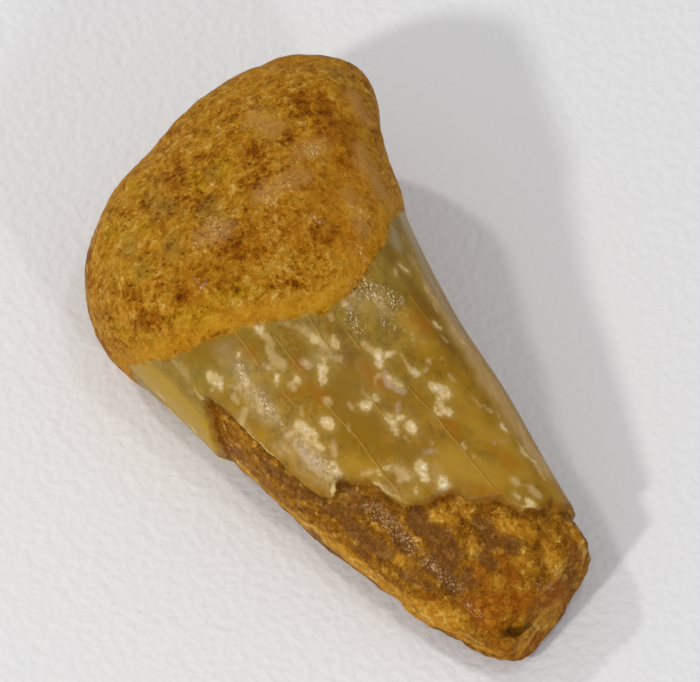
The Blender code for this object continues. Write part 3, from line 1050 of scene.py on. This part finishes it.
def core_finish(paint, bare):
    """Rough spongy core: brown with orange rust and dark gaps, with painted glints and painted
    shade.
    """
    patch = paint.grain((1.3, 2.0, 1.3), 3.0, 0.6, 17.0, 0.3)
    crumbs = paint.grain(0.5, 3.0, 0.62, 23.0, 0.5)
    gaps = paint.grain(0.36, 3.0, 0.6, 33.0, 0.6).rise(0.4, 0.33)
    chunks = paint.chunks(0.36, 57.0)
    chips = paint.chunks(0.18, 27.0)
    strands = paint.threads(0.7, 3.0, 0.55, 47.0, 1.3).rise(0.05, 0.01)
    loose = (patch - MIDDLE) * 2.0 + (crumbs - MIDDLE) * 0.8
    plum = paint.marked("plum", loose * 0.8, 0.25, -0.25)
    ember = paint.marked("ember", loose * 0.8, 0.4, -0.4)
    sand = paint.marked("sand", loose * 0.8, 0.3, -0.4)
    rough = 1.0 - plum * 0.3 - ember * 0.25
    uneven = (patch - MIDDLE) * 0.4 + (crumbs - MIDDLE) * 0.5
    uneven = uneven + (chunks - MIDDLE) * 0.3 + (chips - MIDDLE) * 0.26
    grit = strands * 0.14 + chunks.rise(0.68, 0.74) * 0.12
    light = (uneven + grit) * rough + 0.535 - ember * 0.02
    glints = paint.glints(paint.field("glitter"), 6.0)
    # painted shadow on the core just under the shell's broken edge
    ledge_shadow = bare.rise(0.1, 0.24) * (bare + loose * 0.15).rise(0.65, 0.25)
    # painted shade inside the tip's hollow
    hollow_shade = paint.marked("hollow_shade", loose * 0.2, 0.2, -0.2)
    colour = paint.coated(
        paint.shades(light, CORE_TONES),
        (ember * 0.8, paint.shades(light, EMBER_TONES)),
        (sand * 0.9, paint.shades(light, SAND_TONES)),
        (plum * 0.85, paint.shades(light, PLUM_TONES)),
        (gaps * rough * (1.0 - sand * 0.7) * 0.36, CORE_DARK),
        # painted glints
        (glints * 0.36, GLINT_HIGHLIGHT),
        ((ledge_shadow * 0.38).largest(hollow_shade * 0.7), CORE_DARK),
    )
    height = patch * 0.8 + crumbs * 0.6 + chunks * 0.4 + chips * 0.16 - gaps * 0.25
    normal = paint.bump(height * rough, 0.3)
    return paint.stone(colour, 0.42 - glints * 0.25, normal, 0.05, 0.15, 0.6)


def bone_material():
    paint = Paint("opalised bone")
    crust = paint.field("crust")
    bare = paint.field("bare")
    bite = paint.grain(0.9, 3.0, 0.5, 41.0) - MIDDLE
    on_crust = (crust + bite * 0.9).rise(-0.16, 0.16)
    on_core = (bare + bite * 0.25).rise(0.06, 0.13)
    shell = shell_finish(paint, crust, bare)
    shader = paint.node("ShaderNodeMixShader", {}, (on_crust, shell, crust_finish(paint, crust)))
    shader = paint.node("ShaderNodeMixShader", {}, (on_core, shader, core_finish(paint, bare)))
    return paint.finish(shader)


def floor_material():
    paint = Paint("pale embossed paper")
    fine = paint.grain(0.55, 1.0, 0.4, 3.0)
    soft = paint.grain(1.3, 2.0, 0.6)
    normal = paint.bump(fine * 1.6 + soft * 0.6, FLOOR_GRAIN_DEPTH)
    shader = paint.node(
        "ShaderNodeBsdfPrincipled",
        {},
        {"Base Color": FLOOR_WHITE, "Roughness": 0.6, "Normal": normal, "Specular IOR Level": 0.2},
    )
    return paint.finish(shader)


# ---------------------------------------------------------------- floor, lamps and camera


def lay_floor():
    bpy.ops.object.select_all(action="DESELECT")
    bpy.ops.mesh.primitive_plane_add(size=FLOOR_SIZE)
    floor = bpy.context.object
    floor.name = "floor"
    floor.data.materials.append(floor_material())


def hang_lamp(name, shadow_right, shadow_away, share, width, colour):
    """A round lamp named for its place, given by where a point one high throws its shadow."""
    direction = (Vector((0, 0, 1)) - RIGHT * shadow_right - AWAY * shadow_away).normalized()
    data = bpy.data.lights.new(name, "AREA")
    data.shape = "DISK"
    data.size = width
    data.energy = share * math.pi**2 * LAMP_DISTANCE**2 / (FLOOR_ALBEDO * direction.z)
    data.color = colour
    lamp = bpy.data.objects.new(name, data)
    lamp.location = direction * LAMP_DISTANCE
    lamp.rotation_euler = direction.to_track_quat("Z", "Y").to_euler()
    bpy.context.collection.objects.link(lamp)


def light_sky():
    world = bpy.data.worlds.new("soft room")
    bpy.context.scene.world = world
    world.use_nodes = True
    background = world.node_tree.nodes["Background"]
    background.inputs["Color"].default_value = SKY_COLOUR
    background.inputs["Strength"].default_value = SKY_SHARE / FLOOR_ALBEDO


def place_camera():
    """A long lens above the bone's tip side, framed by where the bone's origin falls."""
    back = RIGHT.cross(UP)
    right_of, above = PICTURE[0] / 2 - ORIGIN_PIXEL[0], ORIGIN_PIXEL[1] - PICTURE[1] / 2
    aim = (RIGHT * right_of + UP * above) * (MM / PIXELS_PER_MM) + back * CAMERA_AIM * MM
    data = bpy.data.cameras.new("camera")
    data.sensor_width = SENSOR_WIDTH
    data.lens = SENSOR_WIDTH * CAMERA_DISTANCE * PIXELS_PER_MM / (PICTURE[0] * MM)
    data.clip_start = 0.01
    camera = bpy.data.objects.new("camera", data)
    camera.matrix_world = Matrix.Translation(aim + back * CAMERA_DISTANCE) @ Matrix(
        (
            (RIGHT.x, UP.x, back.x, 0),
            (RIGHT.y, UP.y, back.y, 0),
            (RIGHT.z, UP.z, back.z, 0),
            (0, 0, 0, 1),
        )
    )
    bpy.context.collection.objects.link(camera)
    bpy.context.scene.camera = camera


# ---------------------------------------------------------------- building

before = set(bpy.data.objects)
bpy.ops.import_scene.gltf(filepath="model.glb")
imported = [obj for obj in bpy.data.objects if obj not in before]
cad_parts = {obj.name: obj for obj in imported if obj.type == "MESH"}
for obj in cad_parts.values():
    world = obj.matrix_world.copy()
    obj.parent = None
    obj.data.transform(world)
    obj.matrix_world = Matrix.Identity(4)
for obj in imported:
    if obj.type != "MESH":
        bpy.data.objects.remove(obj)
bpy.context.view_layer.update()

place_camera()
lay_floor()
light_sky()
for lamp in LAMPS:
    hang_lamp(*lamp)

bone = model_bone()
bone.data.materials.append(bone_material())
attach(bone, "root")
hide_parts("fossil_bone")

bpy.context.scene.view_settings.view_transform = "Standard"
